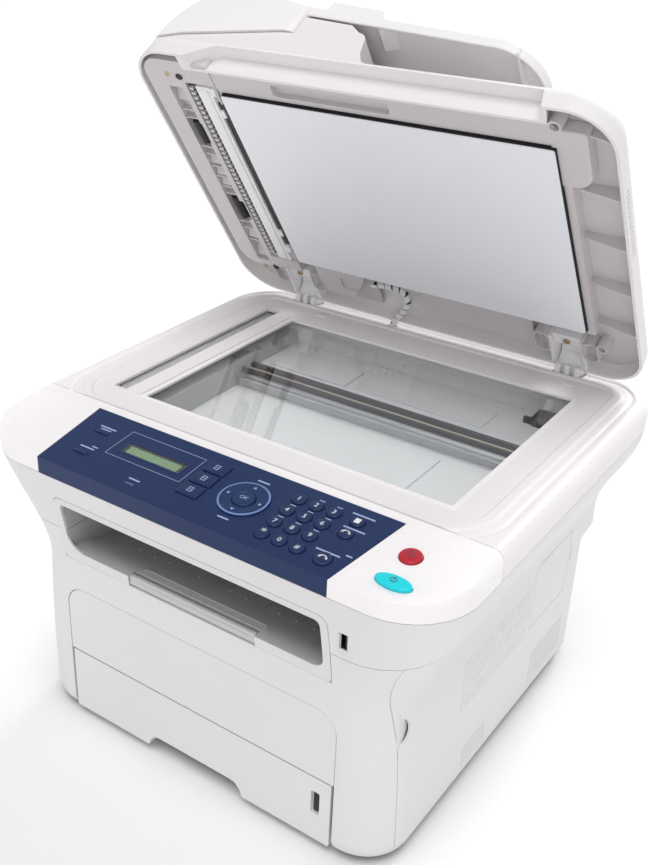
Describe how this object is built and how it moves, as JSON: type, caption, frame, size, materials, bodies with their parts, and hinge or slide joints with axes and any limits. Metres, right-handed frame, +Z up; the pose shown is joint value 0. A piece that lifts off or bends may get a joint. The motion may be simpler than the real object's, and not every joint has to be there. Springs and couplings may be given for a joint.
{
  "type": "laser multifunction printer",
  "caption": "Desk-top laser printer and scanner with a flared body, paper cassette, sloping keypad console, flatbed glass and a hinged lid with a document feeder.",
  "frame": {"origin": "under the middle of the machine's box with the lid open, on the surface it stands on", "axes": "+X to the user's right, +Y to the back, +Z up"},
  "size_m": [0.448, 0.4444, 0.6076],
  "materials": {
    "frame_plastic": "moulded, satin",
    "shell_plastic": "fine spark-eroded texture",
    "deck_plastic": "fine texture",
    "lid_plastic": "fine texture",
    "white_plastic": "semi gloss",
    "grey_plastic": "moulded, satin",
    "navy_plastic": "semi gloss with fine texture",
    "key_plastic": "satin",
    "nav_plastic": "satin",
    "red_plastic": "satin",
    "teal_plastic": "satin",
    "black_plastic": "moulded",
    "rubber": "matt",
    "glass": "polished",
    "display": "liquid crystal behind a clear window",
    "steel": "ground",
    "hinge_plastic": "moulded",
    "harness_wrap": "spiral wrap over wires",
    "white_pad": "smooth white sheet on foam"
  },
  "bodies": {
    "printer_base": {"base_chassis": "frame_plastic", "left_cover": "shell_plastic", "right_cover": "shell_plastic", "rear_cover": "shell_plastic", "power_inlet": "black_plastic", "toner_cartridge": "black_plastic", "fuser_unit": "frame_plastic", "output_bin": "grey_plastic", "bin_hood": "grey_plastic", "scanner_housing": "shell_plastic", "usb_port": "steel", "scanner_bezel": "deck_plastic", "platen_glass": "glass", "adf_glass": "glass", "guide_rod": "steel", "console_cover": "white_plastic", "console_panel": "navy_plastic", "lcd_module": "display", "hinge_left": "hinge_plastic", "hinge_right": "hinge_plastic", "adf_harness": "harness_wrap"},
    "lid": {"lid_shell": "lid_plastic", "lid_underside": "deck_plastic", "document_pad": "white_pad"},
    "adf_cover": {"adf_cover": "white_plastic"},
    "document_tray": {"document_tray": "shell_plastic"},
    "sheet_guide_front": {"sheet_guide_front": "shell_plastic"},
    "sheet_guide_rear": {"sheet_guide_rear": "shell_plastic"},
    "front_cover": {"front_cover": "shell_plastic"},
    "manual_feed_door": {"manual_feed_door": "shell_plastic"},
    "cassette": {"paper_cassette": "shell_plastic"},
    "carriage": {"scan_carriage": "black_plastic"},
    "bin_flap": {"bin_flap": "grey_plastic"},
    "rear_door": {"rear_door": "shell_plastic"},
    "power_switch": {"power_switch": "black_plastic"},
    "pickup_roller": {"pickup_roller": "rubber"},
    "key_1": {"key_1": "key_plastic"},
    "key_2": {"key_2": "key_plastic"},
    "key_3": {"key_3": "key_plastic"},
    "key_4": {"key_4": "key_plastic"},
    "key_5": {"key_5": "key_plastic"},
    "key_6": {"key_6": "key_plastic"},
    "key_7": {"key_7": "key_plastic"},
    "key_8": {"key_8": "key_plastic"},
    "key_9": {"key_9": "key_plastic"},
    "key_star": {"key_star": "key_plastic"},
    "key_0": {"key_0": "key_plastic"},
    "key_hash": {"key_hash": "key_plastic"},
    "address_key": {"address_key": "key_plastic"},
    "redial_key": {"redial_key": "key_plastic"},
    "hook_key": {"hook_key": "key_plastic"},
    "copy_mode_key": {"copy_mode_key": "key_plastic"},
    "fax_mode_key": {"fax_mode_key": "key_plastic"},
    "scan_mode_key": {"scan_mode_key": "key_plastic"},
    "id_copy_key": {"id_copy_key": "key_plastic"},
    "usb_key": {"usb_key": "key_plastic"},
    "ok_key": {"ok_key": "nav_plastic"},
    "nav_ring": {"nav_ring": "nav_plastic"},
    "stop_key": {"stop_key": "red_plastic"},
    "start_key": {"start_key": "teal_plastic"}
  },
  "joints": [
    {"name": "lid_hinge", "type": "hinge", "parent": "printer_base", "child": "lid", "pos_m": [0, 0.18462, 0.3085], "axis": [-1, 0, 0], "range_deg": [-55.4, 10], "deforming": ["adf_harness"]},
    {"name": "front_cover_hinge", "type": "hinge", "parent": "printer_base", "child": "front_cover", "pos_m": [0, -0.20068, 0.014], "axis": [-1, 0, 0], "range_deg": [-85, 0]},
    {"name": "manual_feed_door_hinge", "type": "hinge", "parent": "front_cover", "child": "manual_feed_door", "pos_m": [0, -0.20368, 0.0773], "axis": [1, 0, 0], "range_deg": [0, 80]},
    {"name": "cassette_slide", "type": "slide", "parent": "printer_base", "child": "cassette", "axis": [0, -1, 0], "range_m": [0, 0.22]},
    {"name": "adf_cover_hinge", "type": "hinge", "parent": "lid", "child": "adf_cover", "pos_m": [-0.212, 0.08154, 0.47465], "axis": [0, -0.5678, 0.8231], "range_deg": [0, 50]},
    {"name": "document_tray_hinge", "type": "hinge", "parent": "lid", "child": "document_tray", "pos_m": [-0.0784, 0.1227, 0.50304], "axis": [0, -0.5678, 0.8231], "range_deg": [0, 25]},
    {"name": "sheet_guide_front_slide", "type": "slide", "parent": "document_tray", "child": "sheet_guide_front", "axis": [0, 0.5678, -0.8231], "range_m": [0, 0.055]},
    {"name": "sheet_guide_rear_slide", "type": "slide", "parent": "document_tray", "child": "sheet_guide_rear", "axis": [0, 0.5678, -0.8231], "range_m": [-0.055, 0]},
    {"name": "carriage_slide", "type": "slide", "parent": "printer_base", "child": "carriage", "axis": [1, 0, 0], "range_m": [0, 0.335]},
    {"name": "bin_flap_hinge", "type": "hinge", "parent": "printer_base", "child": "bin_flap", "pos_m": [0, -0.20217, 0.1776], "axis": [1, 0, 0], "range_deg": [0, 90]},
    {"name": "rear_door_hinge", "type": "hinge", "parent": "printer_base", "child": "rear_door", "pos_m": [0.032, 0.15792, 0.036], "axis": [-1, 0, 0], "range_deg": [0, 80]},
    {"name": "power_switch_pivot", "type": "hinge", "parent": "printer_base", "child": "power_switch", "pos_m": [-0.122, 0.15232, 0.088], "axis": [1, 0, 0], "range_deg": [0, 12]},
    {"name": "pickup_roller_spin", "type": "hinge", "parent": "printer_base", "child": "pickup_roller", "pos_m": [0, -0.12668, 0.07], "axis": [1, 0, 0], "continuous": true},
    {"name": "key_1_press", "type": "slide", "parent": "printer_base", "child": "key_1", "axis": [0, 0.1146, -0.9934], "range_m": [0, 0.001], "stiffness_N_per_m": 300, "springref_m": -0.002},
    {"name": "key_2_press", "type": "slide", "parent": "printer_base", "child": "key_2", "axis": [0, 0.1146, -0.9934], "range_m": [0, 0.001], "stiffness_N_per_m": 300, "springref_m": -0.002},
    {"name": "key_3_press", "type": "slide", "parent": "printer_base", "child": "key_3", "axis": [0, 0.1146, -0.9934], "range_m": [0, 0.001], "stiffness_N_per_m": 300, "springref_m": -0.002},
    {"name": "key_4_press", "type": "slide", "parent": "printer_base", "child": "key_4", "axis": [0, 0.1146, -0.9934], "range_m": [0, 0.001], "stiffness_N_per_m": 300, "springref_m": -0.002},
    {"name": "key_5_press", "type": "slide", "parent": "printer_base", "child": "key_5", "axis": [0, 0.1146, -0.9934], "range_m": [0, 0.001], "stiffness_N_per_m": 300, "springref_m": -0.002},
    {"name": "key_6_press", "type": "slide", "parent": "printer_base", "child": "key_6", "axis": [0, 0.1146, -0.9934], "range_m": [0, 0.001], "stiffness_N_per_m": 300, "springref_m": -0.002},
    {"name": "key_7_press", "type": "slide", "parent": "printer_base", "child": "key_7", "axis": [0, 0.1146, -0.9934], "range_m": [0, 0.001], "stiffness_N_per_m": 300, "springref_m": -0.002},
    {"name": "key_8_press", "type": "slide", "parent": "printer_base", "child": "key_8", "axis": [0, 0.1146, -0.9934], "range_m": [0, 0.001], "stiffness_N_per_m": 300, "springref_m": -0.002},
    {"name": "key_9_press", "type": "slide", "parent": "printer_base", "child": "key_9", "axis": [0, 0.1146, -0.9934], "range_m": [0, 0.001], "stiffness_N_per_m": 300, "springref_m": -0.002},
    {"name": "key_star_press", "type": "slide", "parent": "printer_base", "child": "key_star", "axis": [0, 0.1146, -0.9934], "range_m": [0, 0.001], "stiffness_N_per_m": 300, "springref_m": -0.002},
    {"name": "key_0_press", "type": "slide", "parent": "printer_base", "child": "key_0", "axis": [0, 0.1146, -0.9934], "range_m": [0, 0.001], "stiffness_N_per_m": 300, "springref_m": -0.002},
    {"name": "key_hash_press", "type": "slide", "parent": "printer_base", "child": "key_hash", "axis": [0, 0.1146, -0.9934], "range_m": [0, 0.001], "stiffness_N_per_m": 300, "springref_m": -0.002},
    {"name": "address_key_press", "type": "slide", "parent": "printer_base", "child": "address_key", "axis": [0, 0.1146, -0.9934], "range_m": [0, 0.001], "stiffness_N_per_m": 300, "springref_m": -0.002},
    {"name": "redial_key_press", "type": "slide", "parent": "printer_base", "child": "redial_key", "axis": [0, 0.1146, -0.9934], "range_m": [0, 0.001], "stiffness_N_per_m": 300, "springref_m": -0.002},
    {"name": "hook_key_press", "type": "slide", "parent": "printer_base", "child": "hook_key", "axis": [0, 0.1146, -0.9934], "range_m": [0, 0.001], "stiffness_N_per_m": 300, "springref_m": -0.002},
    {"name": "copy_mode_key_press", "type": "slide", "parent": "printer_base", "child": "copy_mode_key", "axis": [0, 0.1146, -0.9934], "range_m": [0, 0.001], "stiffness_N_per_m": 300, "springref_m": -0.002},
    {"name": "fax_mode_key_press", "type": "slide", "parent": "printer_base", "child": "fax_mode_key", "axis": [0, 0.1146, -0.9934], "range_m": [0, 0.001], "stiffness_N_per_m": 300, "springref_m": -0.002},
    {"name": "scan_mode_key_press", "type": "slide", "parent": "printer_base", "child": "scan_mode_key", "axis": [0, 0.1146, -0.9934], "range_m": [0, 0.001], "stiffness_N_per_m": 300, "springref_m": -0.002},
    {"name": "id_copy_key_press", "type": "slide", "parent": "printer_base", "child": "id_copy_key", "axis": [0, 0.1146, -0.9934], "range_m": [0, 0.001], "stiffness_N_per_m": 300, "springref_m": -0.002},
    {"name": "usb_key_press", "type": "slide", "parent": "printer_base", "child": "usb_key", "axis": [0, 0.1146, -0.9934], "range_m": [0, 0.001], "stiffness_N_per_m": 300, "springref_m": -0.002},
    {"name": "ok_key_press", "type": "slide", "parent": "printer_base", "child": "ok_key", "axis": [0, 0.1146, -0.9934], "range_m": [0, 0.001], "stiffness_N_per_m": 300, "springref_m": -0.002},
    {"name": "nav_ring_press", "type": "slide", "parent": "printer_base", "child": "nav_ring", "axis": [0, 0.1146, -0.9934], "range_m": [0, 0.0008], "stiffness_N_per_m": 300, "springref_m": -0.002},
    {"name": "stop_key_press", "type": "slide", "parent": "printer_base", "child": "stop_key", "axis": [0, 0.1146, -0.9934], "range_m": [0, 0.001], "stiffness_N_per_m": 300, "springref_m": -0.002},
    {"name": "start_key_press", "type": "slide", "parent": "printer_base", "child": "start_key", "axis": [0, 0.1146, -0.9934], "range_m": [0, 0.001], "stiffness_N_per_m": 300, "springref_m": -0.002}
  ],
  "couplings": [
    {"joint": "sheet_guide_rear_slide", "follows": "sheet_guide_front_slide", "ratio": -1}
  ]
}
